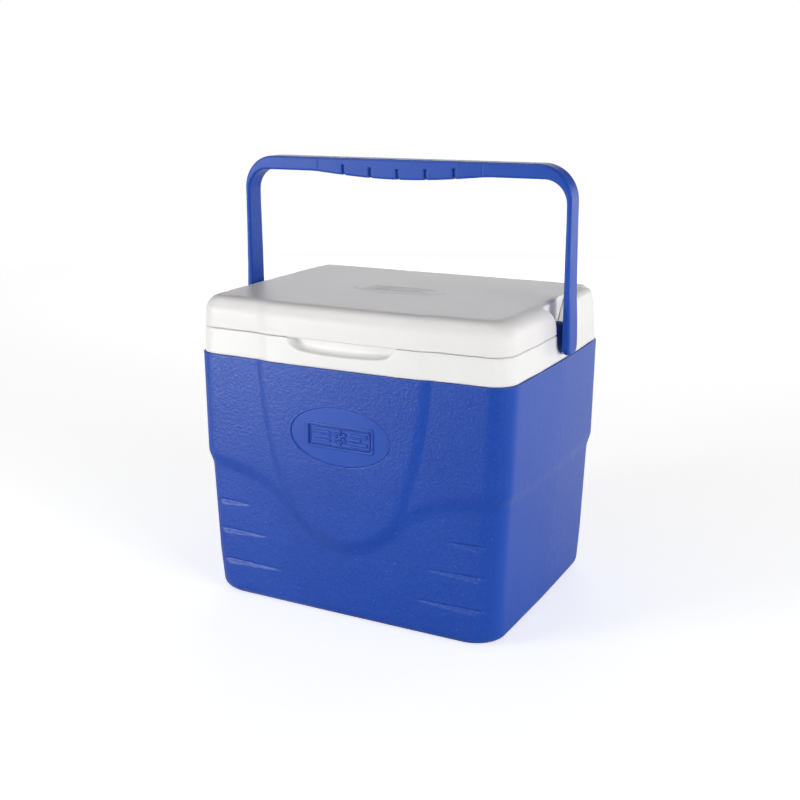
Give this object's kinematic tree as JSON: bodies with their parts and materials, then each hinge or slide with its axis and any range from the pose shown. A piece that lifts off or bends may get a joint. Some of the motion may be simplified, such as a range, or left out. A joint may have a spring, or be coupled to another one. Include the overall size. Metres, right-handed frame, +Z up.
{
  "type": "cooler chest",
  "caption": "Small insulated cooler chest: rounded plastic body, white liner with collar, rear-hinged insulated lid and a swing-over bail handle.",
  "frame": {"origin": "centre of the flat base", "axes": "+Z up, -Y towards the front face with the badge and finger scoop, +X to the right of a person facing the front; hinge at the rear, +Y"},
  "size_m": [0.3228, 0.2337, 0.389],
  "materials": {
    "blue_shell": "pebble-grained polyethylene, soft satin sheen",
    "blue_handle": "smooth satin polypropylene",
    "white_lid": "fine satin-grained polyethylene",
    "white_liner": "smooth satin polypropylene",
    "foam": "closed-cell foam, hidden between the shells"
  },
  "bodies": {
    "chest": {"outer_shell": "blue_shell", "fill_plug": "blue_shell", "body_foam": "foam", "liner": "white_liner"},
    "lid": {"lid_cover": "white_lid", "lid_foam": "foam", "lid_pan": "white_liner"},
    "bail": {"handle": "blue_handle"}
  },
  "joints": [
    {"name": "lid_hinge", "type": "hinge", "parent": "chest", "child": "lid", "pos_m": [0, 0.0913, 0.2617], "axis": [-1, 0, 0], "range_deg": [0, 40]},
    {"name": "handle_swing", "type": "hinge", "parent": "chest", "child": "bail", "pos_m": [0, 0.008, 0.2434], "axis": [-1, 0, 0], "range_deg": [-90, 110]}
  ]
}
